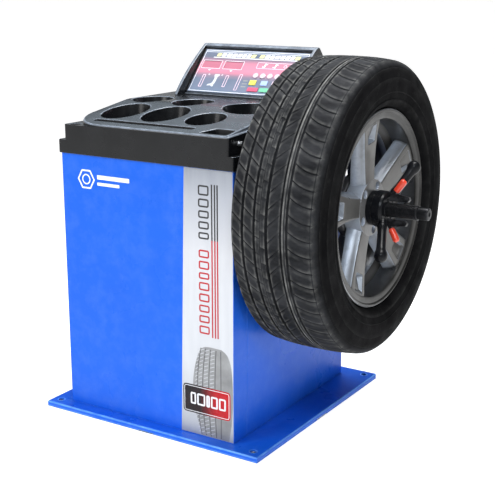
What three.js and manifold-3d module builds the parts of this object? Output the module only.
// Wheel balancer machine with a clamped car wheel, in millimetres, +Z up.
// The origin is the centre of the base plate's underside, on the floor.
// +X runs along the spindle towards the wheel, and +Y runs to the back of the machine.

import * as THREE from 'three';
import { mergeVertices } from 'three/addons/utils/BufferGeometryUtils.js';
import Module from 'manifold-3d';

const wasm = await Module();
wasm.setup();

// ---------------------------------------------------------------- driving dimensions

const GAP = 0.3; // between touching pieces
const SHEET = 3; // cabinet sheet metal

const BASE = { width: 680, depth: 670, height: 14, wall: 4, bar: 60, holeRadius: 8, holeInset: 28 };
const CAB = { left: -280, right: 250, front: -298, back: 282, bottom: BASE.height + GAP, top: 705 };
const WRAP = 61; // how far the front panel folds round each side
const ACCESS = { left: -190, right: 130, bottom: 90, top: 640 }; // opening behind the rear panel
const PANEL_LAP = 20;
const SCREW_INSET = 10;
const INLET = { x: 190, z: 150 };
const SWITCH = { x: 190, z: 230, pivotY: 277 };

const TRAY = { skirtTop: 740, ledge: 780, lip: 786, deck: 822, wall: 5 };
const SKIRT = { left: -286, right: 256, front: -304, back: 290 };
const BLOCK = { left: -264, right: 242, front: -304, back: 286 };
const CREST_Y = -60; // the sloping front of the tray meets the flat deck here
const SLOPE = (TRAY.deck - TRAY.lip) / (CREST_Y - BLOCK.front);

// Weight cups as [x, y, half width, half length, depth]; the last one is the cone bowl.
const CUPS = [
  [-169, -167, 57, 75, 52],
  [-41, -165, 57, 75, 52],
  [92, -178, 50, 57, 48],
  [-192, -19, 53, 61, 52],
  [-56, -21, 53, 63, 52],
  [146, -30, 86, 86, 62],
];
const CUP_TAPER = 0.86;
const GROOVE = { left: -196, right: 116, y: -262, radius: 9, depth: 3 };
const CORNER_POCKET = { shape: [[146, -290], [226, -290], [226, -246], [172, -246]], depth: 18 };
const LEDGE_CUP = { x: -240, y: -284, rx: 17, ry: 13, depth: 16 };
const GAUGE = { y: 81, z: 754 };
const PEG = { y: -262, z: 766 };

const AXIS = { y: -9, z: 592 }; // spindle axis
const SHAFT = { rear: -62, end: 625, seat: 20, nose: 18, tip: 15.5, body: 26 };
const FLANGE_FACE = 430; // the rim's hub seats here
const WHEEL_X = 396; // middle of the tyre
const TYRE_R = 369;
const SPOKES = 5;
const SPOKE_PHASE = -10; // degrees from straight up towards the back
const HUB = { inner: 34.5, outer: 78, bore: 33.5, radius: 76 };
const LUG = { circle: 57.15, radius: 8 }; // wheel bolt holes

// Along the spindle, then outwards: the quick nut and the pressure cup in front of it.
const NUT = { cupFace: WHEEL_X + HUB.outer + GAP, cupEnd: 489, end: 517, radius: 46, cupRadius: 43.5 };
const HANDLE = { turn: 43.5, tilt: 16.6, root: 503 };
const LEVER = { turn: 13, tilt: 34, thickness: 12, sleeveFoot: [531, 46] };
const VALVE_TURN = 98; // in the middle of a spoke window

const PITCH = { large: 58.5, small: 22.5, belt: 2 }; // belt drive pitch radii and half thickness
const MOTOR_Z = 400;
const PULLEY_X = [-58, -34];
const COLUMN = { left: 60, right: 220, front: -79, back: 61, wall: 6, top: 520 };

const DISPLAY = { left: -184, right: 170, bottomY: 128, bottomZ: 829, topY: 232, topZ: 943, cheek: 10 };
const FACE_HEIGHT = Math.hypot(DISPLAY.topY - DISPLAY.bottomY, DISPLAY.topZ - DISPLAY.bottomZ);
const FACE_WIDTH = DISPLAY.right - DISPLAY.left;
const PANEL_T = 3;

// Windows and keys as [x, z, width, height] or [x, z, diameter], from the middle of the panel's foot.
const WINDOWS = { left: [-131, 97, 60, 25], right: [-58, 97, 60, 25] };
const ROUND_KEYS = [29, 52, 75, 98].map((x) => [x, 65.7, 17]);
const SQUARE_KEYS = { yellow: [29, 41], blue: [66, 41], white: [101, 41] };
const WIDE_KEYS = { stop: [38, 18], start: [76, 18] };
const KEY_SIZE = { square: [21, 16], wide: [33, 13], proud: 1.6, stem: 4 };
const KEY_GAP = 0.5;

// ---------------------------------------------------------------- solids and shapes

// Turn a three.js geometry into a manifold solid with its faces pointing out.
function solid(geometry) {
  const bare = geometry.index ? geometry.toNonIndexed() : geometry.clone();
  bare.deleteAttribute('normal');
  bare.deleteAttribute('uv');
  const merged = mergeVertices(bare, 1e-3);
  const points = Float32Array.from(merged.attributes.position.array);
  const corners = merged.index.array;
  const triangles = [];
  let volume = 0;
  for (let i = 0; i < corners.length; i += 3) {
    const [a, b, c] = [corners[i], corners[i + 1], corners[i + 2]];
    if (a === b || b === c || c === a) continue;
    triangles.push(a, b, c);
    const [p, q, r] = [a, b, c].map((k) => new THREE.Vector3().fromArray(points, 3 * k));
    volume += p.dot(q.cross(r));
  }
  if (volume < 0) triangles.reverse();
  return new wasm.Manifold(new wasm.Mesh({
    numProp: 3,
    vertProperties: points,
    triVerts: Uint32Array.from(triangles),
  }));
}

function geometryOf(manifold) {
  const mesh = manifold.getMesh();
  const geometry = new THREE.BufferGeometry();
  geometry.setAttribute('position', new THREE.BufferAttribute(mesh.vertProperties, 3));
  geometry.setIndex(new THREE.BufferAttribute(mesh.triVerts, 1));
  geometry.computeVertexNormals();
  return geometry;
}

const union = (first, ...rest) => rest.reduce((whole, piece) => whole.add(piece), first);
const cut = (first, ...rest) => rest.reduce((whole, piece) => whole.subtract(piece), first);

const outline = (points) => new THREE.Shape(points.map(([a, b]) => new THREE.Vector2(a, b)));

function ellipse(x, y, rx, ry) {
  const shape = new THREE.Shape();
  shape.absellipse(x, y, rx, ry, 0, 2 * Math.PI, false, 0);
  return shape;
}

function slotShape(x0, x1, y, radius) {
  const shape = new THREE.Shape();
  shape.absarc(x0 + radius, y, radius, Math.PI / 2, 1.5 * Math.PI, false);
  shape.absarc(x1 - radius, y, radius, -Math.PI / 2, Math.PI / 2, false);
  return shape;
}

function extruded(shape, length, curveSegments) {
  return new THREE.ExtrudeGeometry(shape, { depth: length, bevelEnabled: false, curveSegments });
}

// A shape drawn in X and Y, from z0 up to z1.
function prismZ(shape, z0, z1, curveSegments = 8) {
  return solid(extruded(shape, z1 - z0, curveSegments).translate(0, 0, z0));
}

// Stands a shape drawn in X and Y up in Y and Z, with its thickness along X.
const UPRIGHT = new THREE.Matrix4().makeBasis(
  new THREE.Vector3(0, 1, 0),
  new THREE.Vector3(0, 0, 1),
  new THREE.Vector3(1, 0, 0),
);

// A shape drawn in Y and Z, from x0 to x1.
function prismX(shape, x0, x1, curveSegments = 8) {
  return solid(extruded(shape, x1 - x0, curveSegments).applyMatrix4(UPRIGHT).translate(x0, 0, 0));
}

// A shape drawn in X and Z, from y0 to y1, mirrored left to right.
function prismY(shape, y0, y1) {
  return solid(extruded(shape, y1 - y0, 1).rotateX(Math.PI / 2).rotateZ(Math.PI).translate(0, y0, 0));
}

function box(x0, x1, y0, y1, z0, z1) {
  const geometry = new THREE.BoxGeometry(x1 - x0, y1 - y0, z1 - z0);
  return solid(geometry.translate((x0 + x1) / 2, (y0 + y1) / 2, (z0 + z1) / 2));
}

const rodX = (radius, x0, x1, y, z, sides = 20) => prismX(ellipse(y, z, radius, radius), x0, x1, sides);
const rodZ = (radius, x, y, z0, z1, sides = 20) => prismZ(ellipse(x, y, radius, radius), z0, z1, sides);

function rodY(radius, x, z, y0, y1, sides = 16) {
  const geometry = new THREE.CylinderGeometry(radius, radius, y1 - y0, sides);
  return solid(geometry.translate(x, (y0 + y1) / 2, z));
}

// A turned piece from [along, radius] points, in an axle group whose own +Y is the axle.
function turned(profile, sides = 32) {
  return solid(new THREE.LatheGeometry(profile.map(([s, r]) => new THREE.Vector2(r, s)), sides));
}

const ringProfile = (s0, s1, inner, outer) =>
  [[s0, inner], [s0, outer], [s1, outer], [s1, inner], [s0, inner]];

// ---------------------------------------------------------------- materials and scene graph

const FINISH = {
  blue_paint: { color: 0x1f63e6, roughness: 0.28, metalness: 0.1 },
  black_plastic: { color: 0x1c1d20, roughness: 0.5, metalness: 0 },
  frame_paint: { color: 0x33363b, roughness: 0.6, metalness: 0.3 },
  steel: { color: 0x9a9da2, roughness: 0.35, metalness: 1 },
  black_steel: { color: 0x18181b, roughness: 0.35, metalness: 0.8 },
  cast_grey: { color: 0x6b6d70, roughness: 0.7, metalness: 0.5 },
  aluminium: { color: 0x8c8b88, roughness: 0.32, metalness: 0.9 },
  rubber: { color: 0x18181a, roughness: 0.9, metalness: 0 },
  tyre: { color: 0x28282a, roughness: 0.85, metalness: 0 },
  red_sleeve: { color: 0xe0432c, roughness: 0.4, metalness: 0 },
  overlay: { color: 0x4a566b, roughness: 0.4, metalness: 0 },
  window: { color: 0x5a1018, roughness: 0.15, metalness: 0 },
  board: { color: 0x1b5c38, roughness: 0.5, metalness: 0 },
  brass: { color: 0xb08d4f, roughness: 0.35, metalness: 1 },
  key_white: { color: 0xe8e8ea, roughness: 0.4, metalness: 0 },
  key_yellow: { color: 0xe9c52f, roughness: 0.4, metalness: 0 },
  key_blue: { color: 0x6f9ad8, roughness: 0.4, metalness: 0 },
  key_red: { color: 0xd8304a, roughness: 0.4, metalness: 0 },
  key_green: { color: 0x36b37e, roughness: 0.4, metalness: 0 },
};

const machine = new THREE.Group();

const axle = new THREE.Group();
axle.position.set(0, AXIS.y, AXIS.z);
axle.rotation.z = -Math.PI / 2;

const motorAxle = new THREE.Group();
motorAxle.position.set(0, AXIS.y, MOTOR_Z);
motorAxle.rotation.z = -Math.PI / 2;

const faceTilt = Math.atan2(DISPLAY.topY - DISPLAY.bottomY, DISPLAY.topZ - DISPLAY.bottomZ);
const face = new THREE.Group(); // own X to the right, own Z up the panel, own -Y out of it
face.position.set((DISPLAY.left + DISPLAY.right) / 2, DISPLAY.bottomY, DISPLAY.bottomZ);
face.rotation.x = -faceTilt;

machine.add(axle, motorAxle, face);

function place(name, finish, manifold, parent = machine) {
  const mesh = new THREE.Mesh(geometryOf(manifold), new THREE.MeshStandardMaterial(FINISH[finish]));
  mesh.name = name;
  parent.add(mesh);
}

// ---------------------------------------------------------------- base and cabinet

function basePlate() {
  const { width: w, depth: d, height: h, wall, bar } = BASE;
  const quarter = (sx, sy) => {
    const xs = [sx * bar / 2, sx * (w / 2 - wall)].sort((a, b) => a - b);
    const ys = [sy * bar / 2, sy * (d / 2 - wall)].sort((a, b) => a - b);
    return box(xs[0], xs[1], ys[0], ys[1], -1, h - wall);
  };
  let plate = box(-w / 2, w / 2, -d / 2, d / 2, 0, h);
  for (const sx of [-1, 1]) {
    for (const sy of [-1, 1]) {
      const [x, y] = [sx * (w / 2 - BASE.holeInset), sy * (d / 2 - BASE.holeInset)];
      const hole = rodZ(BASE.holeRadius, x, y, -1, h + 1, 6);
      plate = cut(plate, quarter(sx, sy), hole);
    }
  }
  return plate;
}

function frontPanel() {
  const back = CAB.front + WRAP;
  const whole = box(CAB.left, CAB.right, CAB.front, back, CAB.bottom, CAB.top);
  const inside = box(CAB.left + SHEET, CAB.right - SHEET, CAB.front + SHEET, back + 1, 0, CAB.top + 1);
  return cut(whole, inside);
}

function accessScrews() {
  const xs = [ACCESS.left - SCREW_INSET, ACCESS.right + SCREW_INSET];
  const zs = [ACCESS.bottom + 2 * SCREW_INSET, ACCESS.top - 2 * SCREW_INSET];
  return xs.flatMap((x) => zs.map((z) => [x, z]));
}

function cabinetBody() {
  const front = CAB.front + WRAP + 0.6;
  const foot = 26;
  const whole = box(CAB.left, CAB.right, front, CAB.back, CAB.bottom, CAB.top);
  const [left, right] = [CAB.left + SHEET, CAB.right - SHEET];
  const inside = box(left, right, front - 1, CAB.back - SHEET, CAB.bottom + SHEET, CAB.top + 1);
  const floor = box(CAB.left + foot, CAB.right - foot, front - 1, CAB.back - foot, 0, CAB.bottom + SHEET + 1);
  const access = box(ACCESS.left, ACCESS.right, CAB.back - 5, CAB.back + 5, ACCESS.bottom, ACCESS.top);
  const spindleHole = rodX(60, CAB.right - 8, CAB.right + 5, AXIS.y, AXIS.z, 8);
  const hole = ({ x, z }, dx, dz) => box(x - dx, x + dx, CAB.back - 5, CAB.back + 5, z - dz, z + dz);
  const screws = accessScrews().map(([x, z]) => rodY(3.4, x, z, CAB.back - 5, CAB.back + 5, 10));
  const fittings = [hole(INLET, 24.5, 14.5), hole(SWITCH, 18, 15)];
  return cut(whole, inside, floor, access, spindleHole, ...fittings, ...screws);
}

function rearPanel() {
  const y0 = CAB.back + GAP;
  const [left, right] = [ACCESS.left - PANEL_LAP, ACCESS.right + PANEL_LAP];
  let panel = box(left, right, y0, y0 + 2, ACCESS.bottom - PANEL_LAP, ACCESS.top + PANEL_LAP);
  for (let row = 0; row < 5; row += 1) {
    const z = ACCESS.top - 70 - 18 * row;
    for (const x of [(3 * left + right) / 4, (left + 3 * right) / 4]) {
      panel = cut(panel, box(x - 60, x + 60, y0 - 1, y0 + 3, z, z + 7));
    }
  }
  return cut(panel, ...accessScrews().map(([x, z]) => rodY(3.4, x, z, y0 - 1, y0 + 3, 10)));
}

function panelScrew(x, z) {
  const head = CAB.back + 2 + 2 * GAP;
  return union(rodY(3, x, z, head - 16, head + 1, 10), rodY(6.5, x, z, head, head + 3.6, 14));
}

place('base_plate', 'blue_paint', basePlate());
place('front_panel', 'blue_paint', frontPanel());
place('cabinet_body', 'blue_paint', cabinetBody());
place('rear_panel', 'blue_paint', rearPanel());
accessScrews().forEach(([x, z], i) => place(`panel_screw_${i + 1}`, 'steel', panelScrew(x, z)));

// ---------------------------------------------------------------- weight tray

const surfaceZ = (y) => (y < CREST_Y ? TRAY.lip + SLOPE * (y - BLOCK.front) : TRAY.deck);

// A tapered elliptical plug that opens upwards.
function cupPlug(x, y, rx, ry, floorZ, topZ, mouthZ, sides) {
  const spread = 1 + (1 - CUP_TAPER) * (topZ - mouthZ) / (mouthZ - floorZ);
  const geometry = new THREE.CylinderGeometry(spread, CUP_TAPER, topZ - floorZ, sides);
  geometry.rotateX(Math.PI / 2).scale(rx, ry, 1);
  return solid(geometry.translate(x, y, (floorZ + topZ) / 2));
}

function plateauOutline(inset) {
  const shape = new THREE.Shape();
  const left = -255 + inset;
  const front = BLOCK.front + inset;
  const right = BLOCK.right - inset;
  const back = BLOCK.back - inset;
  shape.moveTo(-150, front);
  shape.lineTo(right, front);
  shape.lineTo(right, back);
  shape.lineTo(left, back);
  shape.lineTo(left, -200);
  shape.absellipse(-150, -200, -150 - left, -200 - front, Math.PI, 1.5 * Math.PI, false, 0);
  return shape;
}

function plateau(inset) {
  const side = outline([
    [BLOCK.front - 10, surfaceZ(BLOCK.front - 10) - inset],
    [BLOCK.front - 10, 715],
    [BLOCK.back + 10, 715],
    [BLOCK.back + 10, TRAY.deck - inset],
    [CREST_Y, TRAY.deck - inset],
  ]);
  return prismX(side, -300, 300).intersect(prismZ(plateauOutline(inset), 700, 900, 8));
}

function weightTray() {
  const t = TRAY.wall;
  const outer = union(
    box(SKIRT.left, SKIRT.right, SKIRT.front, SKIRT.back, CAB.top + GAP, TRAY.skirtTop),
    box(BLOCK.left, BLOCK.right, BLOCK.front, BLOCK.back, TRAY.skirtTop - 5, TRAY.ledge),
    plateau(0),
  );
  const inner = union(
    box(SKIRT.left + t, SKIRT.right - t, SKIRT.front + t, SKIRT.back - t, 700, TRAY.skirtTop - t),
    box(BLOCK.left + t, BLOCK.right - t, BLOCK.front + t, BLOCK.back - t, 700, TRAY.ledge - t),
    plateau(t),
  );
  const seat = box(CAB.left - 0.5, CAB.left + 12, SKIRT.front + t, SKIRT.back - t, 700, CAB.top + 0.2);
  let tray = cut(outer, inner, seat);
  const sides = 20;
  const cupTop = 860; // clear of the deck
  for (const [x, y, rx, ry, depth] of CUPS) {
    const mouth = surfaceZ(y);
    const floor = mouth - depth;
    const wall = cupPlug(x, y, rx + t - 1, ry + t - 1, floor - t, cupTop, mouth, sides);
    tray = tray.add(wall.intersect(outer));
  }
  for (const [x, y, rx, ry, depth] of CUPS) {
    const mouth = surfaceZ(y);
    tray = tray.subtract(cupPlug(x, y, rx, ry, mouth - depth, cupTop, mouth, sides));
  }
  const { left, right, y: grooveY, radius, depth: grooveDepth } = GROOVE;
  const groove = prismZ(slotShape(left, right, grooveY, radius), TRAY.lip - grooveDepth, cupTop, 8);
  const grooveWall = prismZ(
    slotShape(left - 4, right + 4, grooveY, radius + 4), TRAY.lip - grooveDepth - t, cupTop, 8,
  );
  const pocket = prismZ(outline(CORNER_POCKET.shape), TRAY.lip - CORNER_POCKET.depth, cupTop);
  const cornerWall = outline([[140, -295], [231, -295], [231, -241], [168, -241]]);
  const pocketWall = prismZ(cornerWall, TRAY.lip - CORNER_POCKET.depth - t, cupTop);
  const { x: ledgeX, y: ledgeY, rx: ledgeRx, ry: ledgeRy, depth: ledgeDepth } = LEDGE_CUP;
  const ledgeCup = prismZ(ellipse(ledgeX, ledgeY, ledgeRx, ledgeRy), TRAY.ledge - ledgeDepth, cupTop, 8);
  const ledgeWall = prismZ(
    ellipse(ledgeX, ledgeY, ledgeRx + 4, ledgeRy + 4), TRAY.ledge - ledgeDepth - 4, TRAY.ledge, 8,
  );
  tray = union(tray, grooveWall.intersect(outer), pocketWall.intersect(outer), ledgeWall.intersect(outer));
  tray = cut(tray, groove, pocket, ledgeCup);
  const gaugeHole = rodX(10.5, BLOCK.right - 10, BLOCK.right + 5, GAUGE.y, GAUGE.z, 6);
  const pegHole = rodX(4.6, BLOCK.right - 10, BLOCK.right + 5, PEG.y, PEG.z, 5);
  return cut(tray, gaugeHole, pegHole);
}

function caliperPeg() {
  const x = BLOCK.right;
  return union(
    rodX(4, x - 8, x + 8, PEG.y, PEG.z, 5),
    rodX(7, x + GAP, x + 2.4, PEG.y, PEG.z, 6),
    rodX(6, x + 6, x + 10, PEG.y, PEG.z, 6),
  );
}

function gaugeSleeve() {
  const [y, z] = [GAUGE.y, GAUGE.z];
  const body = union(
    rodX(10, 150, BLOCK.right + 5, y, z, 6),
    rodX(12.5, BLOCK.right + GAP, BLOCK.right + 6, y, z, 6),
  );
  return cut(body, rodX(6.6, 140, 260, y, z, 6));
}

function gaugeRod() {
  const [y, z] = [GAUGE.y, GAUGE.z];
  const neck = BLOCK.right + 6;
  return union(
    rodX(6, 20, neck + 6, y, z, 6),
    rodX(9, neck + 4, neck + 10, y, z, 6),
    rodX(4, neck + 8, neck + 16, y, z, 4),
  );
}

place('weight_tray', 'black_plastic', weightTray());
place('caliper_peg', 'steel', caliperPeg());
place('gauge_sleeve', 'brass', gaugeSleeve());
place('gauge_rod', 'steel', gaugeRod());

// ---------------------------------------------------------------- frame, spindle housing, sensors

function machineFrame() {
  const { left, right, front, back, wall, top } = COLUMN;
  const channel = cut(
    box(left, right, front, back, 20, top),
    box(left - 1, right - wall, front + wall, back - wall, 19, top + 1),
  );
  const foot = box(left - 60, right, front - 50, back + 50, CAB.bottom, 24);
  const table = box(left - 10, right + 10, front - 6, back + 6, top - 4, top + 8);
  return union(channel, foot, table);
}

function spindleHousing() {
  const seat = COLUMN.top + 8 + GAP + 16 + GAP;
  const shell = union(
    rodX(44, 30, CAB.right + 8, AXIS.y, AXIS.z, 10),
    box(50, 232, AXIS.y - 40, AXIS.y + 40, seat, AXIS.z - 20),
  );
  return cut(shell, rodX(31, 20, CAB.right + 20, AXIS.y, AXIS.z, 10));
}

function forceSensor(x) {
  const z = COLUMN.top + 8 + GAP;
  return rodZ(16, x, AXIS.y, z, z + 16, 6);
}

const bearing = (s) => turned(ringProfile(s, s + 20, 20.6, 30.3), 24);

place('machine_frame', 'frame_paint', machineFrame());
place('spindle_housing', 'cast_grey', spindleHousing());
place('force_sensor_front', 'steel', forceSensor(200));
place('force_sensor_rear', 'steel', forceSensor(80));
place('bearing_front', 'steel', bearing(226), axle);
place('bearing_rear', 'steel', bearing(40), axle);

// ---------------------------------------------------------------- spindle and its fittings

function spindleShaft() {
  const { rear, end, seat, nose, tip, body } = SHAFT;
  return turned([
    [rear, 0], [rear, 14], [34, 14], [34, seat], [254, seat], [254, body], [395.5, body],
    [395.5, nose], [597, nose], [598.5, tip], [end - 3, tip], [end, tip - 3], [end, 0],
  ], 24);
}

function pulley(pitch, bore) {
  const [s0, s1] = PULLEY_X;
  const seat = pitch - PITCH.belt - GAP;
  const profile = [
    [s0, bore], [s0, seat + 3], [s0 + 1.5, seat + 3], [s0 + 1.5, seat],
    [s1 - 1.5, seat], [s1 - 1.5, seat + 3], [s1, seat + 3], [s1, bore], [s0, bore],
  ];
  return turned(profile, 20);
}

// The belt's loop round both pulleys, drawn in Y and Z at a given distance from the pitch line.
function beltShape(offset) {
  const span = AXIS.z - MOTOR_Z;
  const lean = Math.asin((PITCH.large - PITCH.small) / span);
  const shape = new THREE.Shape();
  shape.absarc(AXIS.y, AXIS.z, PITCH.large + offset, -lean, Math.PI + lean, false);
  shape.absarc(AXIS.y, MOTOR_Z, PITCH.small + offset, Math.PI + lean, 2 * Math.PI - lean, false);
  return shape;
}

function driveBelt() {
  const [x0, x1] = [PULLEY_X[0] + 3, PULLEY_X[1] - 3];
  return cut(
    prismX(beltShape(PITCH.belt), x0, x1, 12),
    prismX(beltShape(-PITCH.belt), x0 - 1, x1 + 1, 12),
  );
}

function encoderDisc() {
  return turned([[-24, 14.4], [-24, 19], [-18, 19], [-18, 50], [-16.5, 50], [-16.5, 14.4], [-24, 14.4]], 24);
}

function encoderSensor() {
  const [y, z] = [AXIS.y, AXIS.z + 44 + GAP];
  const arm = box(-28, 60, y - 8, y + 8, z + 10, z + 16);
  const post = box(40, 60, y - 8, y + 8, z, z + 16);
  const fork = cut(box(-28, -6, y - 8, y + 8, z - 12, z + 16), box(-22, -12, y - 9, y + 9, z - 13, z + 8));
  return union(arm, post, fork);
}

function backingFlange() {
  const [back, floor, face] = [396, 402, FLANGE_FACE];
  return turned([
    [back, 18.8], [back, 58], [back + 12, 70], [back + 14, 82], [face, 82], [face, 64],
    [face - 4, 62], [floor, 56], [floor, 18.8], [back, 18.8],
  ], 28);
}

function centringCone() {
  return turned([
    [418, 18.6], [418, 36], [424.5, 36], [449, 23.7], [452, 21.5], [452, 18.6], [418, 18.6],
  ], 24);
}

// A compression spring between the flange's pocket and the cone.
function coneSpring() {
  const [s0, s1, radius, wire, turns] = [404.2, 415.8, 27, 1.6, 2.5];
  const points = [];
  const steps = Math.round(turns * 12);
  for (let i = 0; i <= steps; i += 1) {
    const angle = (2 * Math.PI * i) / 12;
    const along = s0 + ((s1 - s0) * i) / steps;
    points.push(new THREE.Vector3(radius * Math.cos(angle), along, radius * Math.sin(angle)));
  }
  const path = new THREE.CatmullRomCurve3(points);
  const section = new THREE.Shape();
  section.absarc(0, 0, wire, 0, 2 * Math.PI, false);
  return solid(new THREE.ExtrudeGeometry(section, { steps, extrudePath: path, curveSegments: 3 }));
}

place('spindle_shaft', 'black_steel', spindleShaft(), axle);
place('spindle_pulley', 'aluminium', pulley(PITCH.large, 14.3), axle);
place('encoder_disc', 'steel', encoderDisc(), axle);
place('encoder_sensor', 'black_plastic', encoderSensor());
place('backing_flange', 'cast_grey', backingFlange(), axle);
place('centring_cone', 'steel', centringCone(), axle);
place('cone_spring', 'steel', coneSpring(), axle);

// ---------------------------------------------------------------- drive and electrics

function driveMotor() {
  return turned([
    [-200, 0], [-200, 45], [-75, 45], [-75, 9], [-80, 9], [-80, 30], [-190, 30], [-190, 0],
  ], 20);
}

function motorRotor() {
  return turned([
    [-189, 0], [-189, 8], [-170, 8], [-170, 28.5], [-95, 28.5], [-95, 8], [-32, 8], [-32, 0],
  ], 16);
}

function motorBracket() {
  const y = COLUMN.back + GAP;
  const plate = cut(box(-74.7, -68, -70, y + 6, 330, 470), rodX(14, -80, -60, AXIS.y, MOTOR_Z, 5));
  return union(plate, box(-74.7, 150, y, y + 6, 360, 440));
}

function controlBoard() {
  const x = CAB.left + SHEET + GAP;
  const board = box(x + 12, x + 14, -180, 60, 420, 620);
  const corners = [[-170, 430], [-170, 610], [50, 430], [50, 610]];
  const posts = corners.map(([y, z]) => rodX(5, x, x + 13, y, z, 3));
  const parts = [
    box(x + 13, x + 20, -130, -80, 520, 570),
    box(x + 13, x + 34, -60, -20, 440, 500),
    box(x + 13, x + 28, 0, 40, 540, 600),
    box(x + 13, x + 22, -150, -110, 440, 470),
  ];
  return union(board, ...posts, ...parts);
}

function transformer() {
  const z = CAB.bottom;
  const core = box(-240, -140, -60, 50, z + 4, z + 92);
  const plate = box(-252, -128, -66, 56, z, z + 5);
  const coil = box(-262, -118, -35, 25, z + 24, z + 72);
  return union(core, plate, coil);
}

function powerInlet() {
  const { x, z } = INLET;
  const y = CAB.back + GAP;
  const body = union(
    box(x - 30, x + 30, y, y + 3, z - 18, z + 18),
    box(x - 24, x + 24, y - 28, y + 1, z - 14, z + 14),
  );
  const recess = box(x - 12.5, x + 12.5, y - 18, y + 4, z - 8.5, z + 8.5);
  const pins = [[x - 7, z - 2], [x, z + 2], [x + 7, z - 2]].map(
    ([px, pz]) => box(px - 1, px + 1, y - 20, y - 11, pz - 2, pz + 2),
  );
  return union(cut(body, recess), ...pins);
}

function switchFrame() {
  const { x, z } = SWITCH;
  const y = CAB.back + GAP;
  const body = union(
    box(x - 21, x + 21, y, y + 2, z - 18, z + 18),
    box(x - 17.5, x + 17.5, y - 20, y + 1, z - 14.5, z + 14.5),
  );
  return cut(body, box(x - 14.4, x + 14.4, y - 17, y + 3, z - 12.4, z + 12.4));
}

// A rocker with its two faces at a shallow angle, resting with the lower face pressed in.
function switchRocker() {
  const { x, z } = SWITCH;
  const y = SWITCH.pivotY;
  const side = outline([
    [y - 7, z - 3], [y - 7, z + 3], [y + 3, z + 9], [y + 11, z + 9],
    [y + 7, z], [y + 5, z - 9], [y - 1, z - 9],
  ]);
  return prismX(side, x - 13.8, x + 13.8);
}

place('drive_motor', 'cast_grey', driveMotor(), motorAxle);
place('motor_rotor', 'steel', motorRotor(), motorAxle);
place('motor_pulley', 'aluminium', pulley(PITCH.small, 8.3), motorAxle);
place('motor_bracket', 'frame_paint', motorBracket());
place('drive_belt', 'rubber', driveBelt());
place('control_board', 'board', controlBoard());
place('transformer', 'cast_grey', transformer());
place('power_inlet', 'black_plastic', powerInlet());
place('switch_frame', 'black_plastic', switchFrame());
place('switch_rocker', 'black_plastic', switchRocker());

// ---------------------------------------------------------------- display and keypad

// The side cheeks stand proud of the face in a curve that dies out at the top.
function cheekShape() {
  const foot = TRAY.deck + GAP;
  const shape = new THREE.Shape();
  shape.moveTo(82, foot);
  shape.quadraticCurveTo(122, 880, 232, 955);
  shape.quadraticCurveTo(240, 961, 250, 956);
  shape.lineTo(266, 938);
  shape.quadraticCurveTo(283, 900, 284, foot);
  return shape;
}

// The space in front of the face, between the cheeks, down to the ledge at its foot.
function faceRecess() {
  const { bottomY, bottomZ, topY, topZ } = DISPLAY;
  const [uy, uz] = [(topY - bottomY) / FACE_HEIGHT, (topZ - bottomZ) / FACE_HEIGHT];
  const [ey, ez] = [topY + 3 * uy, topZ + 3 * uz];
  return outline([
    [40, 700], [bottomY - 8, 700], [bottomY - 8, bottomZ - 3], [bottomY - 3 * uy, bottomZ - 3 * uz],
    [ey, ez], [ey - 8, ez + 8], [180, 1000], [40, 1000],
  ]);
}

function insideShape() {
  const foot = TRAY.deck - 10;
  const { bottomY, bottomZ, topY, topZ } = DISPLAY;
  const shape = new THREE.Shape();
  shape.moveTo(bottomY + 5, foot);
  shape.lineTo(bottomY + 5, bottomZ + 2);
  shape.lineTo(topY + 5, topZ - 1);
  shape.lineTo(topY + 12, topZ + 6);
  shape.lineTo(262, 934);
  shape.quadraticCurveTo(278, 900, 279, foot);
  return shape;
}

function keyBox([x, z], [width, height], y0, y1, grow) {
  const [dx, dz] = [width / 2 + grow, height / 2 + grow];
  return box(x - dx, x + dx, y0, y1, z - dz, z + dz);
}

function allKeys(y0, y1, grow) {
  const keys = {};
  ROUND_KEYS.forEach(([x, z, size], i) => {
    keys[`key_round_${i + 1}`] = ['key_white', rodY(size / 2 + grow, x, z, y0, y1, 12)];
  });
  for (const [colour, at] of Object.entries(SQUARE_KEYS)) {
    keys[`key_${colour}`] = [`key_${colour}`, keyBox(at, KEY_SIZE.square, y0, y1, grow)];
  }
  keys.key_stop = ['key_red', keyBox(WIDE_KEYS.stop, KEY_SIZE.wide, y0, y1, grow)];
  keys.key_start = ['key_green', keyBox(WIDE_KEYS.start, KEY_SIZE.wide, y0, y1, grow)];
  return keys;
}

function keypadPanel() {
  const half = FACE_WIDTH / 2 - GAP;
  let panel = box(-half, half, -PANEL_T, -GAP, GAP, FACE_HEIGHT - GAP);
  for (const [x, z, w, h] of Object.values(WINDOWS)) {
    panel = cut(panel, box(x - w / 2, x + w / 2, -PANEL_T - 1, 1, z - h / 2, z + h / 2));
  }
  for (const [, hole] of Object.values(allKeys(-PANEL_T - 1, 1, KEY_GAP))) panel = cut(panel, hole);
  return panel;
}

function displayHousing() {
  const { left, right, cheek } = DISPLAY;
  const shell = cut(
    prismX(cheekShape(), left - cheek, right + cheek, 7),
    prismX(faceRecess(), left - GAP, right + GAP),
    prismX(insideShape(), left + 4, right - 4, 7),
  );
  const toMachine = new THREE.Matrix4().makeRotationX(-faceTilt).setPosition(face.position);
  const opening = new THREE.BoxGeometry(FACE_WIDTH - 22, 40, FACE_HEIGHT - 10);
  opening.translate(0, 0, FACE_HEIGHT / 2).applyMatrix4(toMachine);
  return cut(shell, solid(opening));
}

function displayModule([x, z, w, h]) {
  return box(x - w / 2 + GAP, x + w / 2 - GAP, -PANEL_T + 1.2, 6, z - h / 2 + GAP, z + h / 2 - GAP);
}

function displayBoard() {
  const [w, h] = [FACE_WIDTH - 44, FACE_HEIGHT - 36];
  return box(-w / 2, w / 2, 7, 8.6, 18, 18 + h);
}

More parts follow.
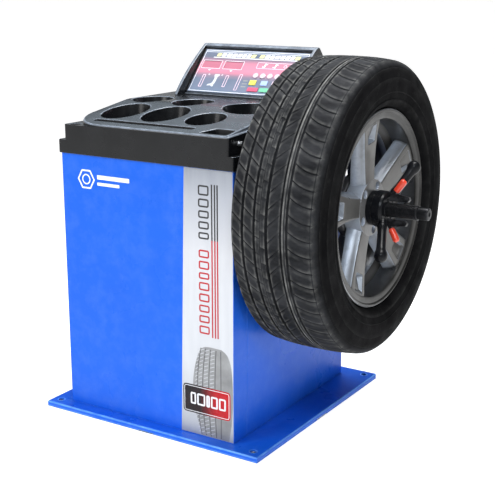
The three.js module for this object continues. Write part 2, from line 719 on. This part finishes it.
place('display_housing', 'black_plastic', displayHousing());
place('keypad_panel', 'overlay', keypadPanel(), face);
place('display_left', 'window', displayModule(WINDOWS.left), face);
place('display_right', 'window', displayModule(WINDOWS.right), face);
place('display_board', 'board', displayBoard(), face);
for (const [name, [finish, key]] of Object.entries(allKeys(-PANEL_T - KEY_SIZE.proud, KEY_SIZE.stem, 0))) {
  place(name, finish, key, face);
}

// ---------------------------------------------------------------- wheel

const mirrored = (half) => [...half, ...half.map(([s, r]) => [-s, r]).reverse()];

function tyre() {
  const outside = [
    [60, TYRE_R], [102, 363], [118, 346], [123, 305], [117, 270], [95, 248.5], [93, 229.2], [76, 229],
  ];
  const inside = [[79, 244], [104, 275], [113, 305], [104, 346], [60, 357]];
  const loop = mirrored([...outside, ...inside]);
  return turned([...loop, loop[0]].map(([s, r]) => [s + WHEEL_X, r]), 44);
}

function rimBarrel() {
  const outside = [
    [-104, 246], [-95, 246], [-94, 228], [-62, 227], [-52, 209],
    [30, 209], [45, 227], [94, 228], [95, 246], [104, 246],
  ];
  const inside = [
    [104, 239], [98, 221], [48, 220], [33, 203], [-50, 203], [-60, 221], [-98, 222], [-104, 239],
  ];
  const loop = [...outside, ...inside, outside[0]].map(([s, r]) => [s + WHEEL_X, r]);
  return turned(loop, 44);
}

// One spoke in the axle group, standing up along its own +Z before it is turned to its place.
function spoke(index) {
  const side = outline([
    [38, 60], [HUB.outer, 60], [82, 120], [92, 214], [94, 224], [60, 224], [46, 150], [40, 100],
  ]);
  const front = outline([[-34, 55], [34, 55], [38, 110], [52, 226], [-52, 226], [-38, 110]]);
  const pocket = outline([[-20, 170], [20, 170], [23, 214], [-23, 214]]);
  const body = prismX(side, -80, 80).intersect(prismY(front, 20, 110));
  const dished = body.subtract(prismY(pocket, 77, 120));
  const angle = SPOKE_PHASE + (360 * index) / SPOKES;
  return dished.translate([0, WHEEL_X, 0]).rotate([0, -angle, 0]);
}

function wheelRim() {
  const { inner, outer, bore, radius } = HUB;
  const { circle, radius: hole } = LUG;
  const along = (profile) => profile.map(([s, r]) => [s + WHEEL_X, r]);
  const hubProfile = [[inner, bore], [inner, radius], [outer, radius - 6], [outer, bore], [inner, bore]];
  const hub = turned(along(hubProfile), 28);
  const reach = turned(along([[0, 0], [0, 222], [104, 222], [104, 0]]), 44);
  const centre = turned(along([[0, 0], [0, bore], [120, bore], [120, 0]]), 28);
  let rim = rimBarrel();
  for (let i = 0; i < SPOKES; i += 1) rim = rim.add(spoke(i).intersect(reach));
  rim = rim.subtract(centre).add(hub);
  for (let i = 0; i < SPOKES; i += 1) {
    const angle = THREE.MathUtils.degToRad(SPOKE_PHASE + (360 * (i + 0.5)) / SPOKES);
    const lug = new THREE.CylinderGeometry(hole, hole, 80, 8);
    lug.translate(-circle * Math.sin(angle), WHEEL_X + inner + 20, circle * Math.cos(angle));
    rim = rim.subtract(solid(lug));
  }
  return rim;
}

function valveStem() {
  const stem = turned([[0, 0], [0, 8], [6, 8], [9, 5], [26, 5], [28, 4], [42, 4], [42, 0]], 12);
  return stem.rotate([-65, 0, 0]).translate([0, WHEEL_X + 76, 216]).rotate([0, -VALVE_TURN, 0]);
}

place('tyre', 'tyre', tyre(), axle);
place('wheel_rim', 'aluminium', wheelRim(), axle);
place('valve_stem', 'rubber', valveStem(), axle);

// ---------------------------------------------------------------- quick nut

function nutCup() {
  const { cupFace: f, cupEnd: e, cupRadius: r } = NUT;
  return turned([[f, r - 6], [f, r], [e, r], [e, 18.6], [e - 5, 18.6], [e - 5, r - 7], [f, r - 6]], 28);
}

function nutBody() {
  const { cupEnd, end, radius: r } = NUT;
  const s = cupEnd + GAP;
  return turned([[s, 18.6], [s, r], [end - 6, r - 1], [end, r - 6], [end, 18.6], [s, 18.6]], 24);
}

// Set something that stands along its own +Z on the spindle axis at the given turn and tilt.
const standing = (piece, s, tilt, phi) =>
  piece.rotate([-tilt, 0, 0]).translate([0, s, 0]).rotate([0, -phi, 0]);

// A turned piece standing along its own +Z, from [height, radius] points.
const upright = (profile, sides) => turned(profile, sides).rotate([90, 0, 0]);

function handle(phi) {
  const grip = upright([
    [34, 0], [34, 11], [100, 11.8], [116, 12.8], [126, 15.5], [135, 16.7], [144, 14], [150, 8], [151.6, 0],
  ], 14);
  const [s0, s1, r] = [NUT.cupEnd - 5, NUT.end + 3, NUT.radius + 0.6];
  const nut = turned([[s0, 0], [s0, r], [s1, r], [s1, 0]], 32);
  return standing(grip, HANDLE.root, HANDLE.tilt, phi).subtract(nut);
}

// A bent release lever: an ear along the spindle and an arm out to the sleeve.
// Its heel leans away from the nut, so that it clears the nut's face when squeezed.
function releaseLever(phi) {
  const plate = outline([
    [0.6, 21], [50, 23], [55, 29], [52, 36], [24, 39.5], [14.5, 39.5],
    [31.8, 65.4], [25.2, 69.8], [5.7, 40.7], [2.8, 36],
  ].map(([s, r]) => [s + NUT.end, r]));
  return prismX(plate, -LEVER.thickness / 2, LEVER.thickness / 2).rotate([0, -phi, 0]);
}

function leverSleeve(phi) {
  const [s, r] = LEVER.sleeveFoot;
  const tube = upright([[0, 0], [0, 7.5], [3, 8.6], [31, 8.6], [34.5, 6.5], [36, 0]], 14);
  const sleeve = tube.subtract(box(-6.4, 6.4, -4.6, 4.6, -1, 28.5));
  return sleeve.rotate([-LEVER.tilt, 0, 0]).translate([0, s, r]).rotate([0, -phi, 0]);
}

place('nut_cup', 'black_plastic', nutCup(), axle);
place('nut_body', 'black_steel', nutBody(), axle);
['a', 'b'].forEach((side, i) => {
  place(`handle_${side}`, 'black_plastic', handle(HANDLE.turn + 180 * i), axle);
  const lever = releaseLever(LEVER.turn + 180 * i);
  const sleeve = leverSleeve(LEVER.turn + 180 * i);
  place(`release_lever_${side}`, 'black_steel', lever.subtract(sleeve), axle);
  place(`lever_sleeve_${side}`, 'red_sleeve', sleeve, axle);
});

export default machine;
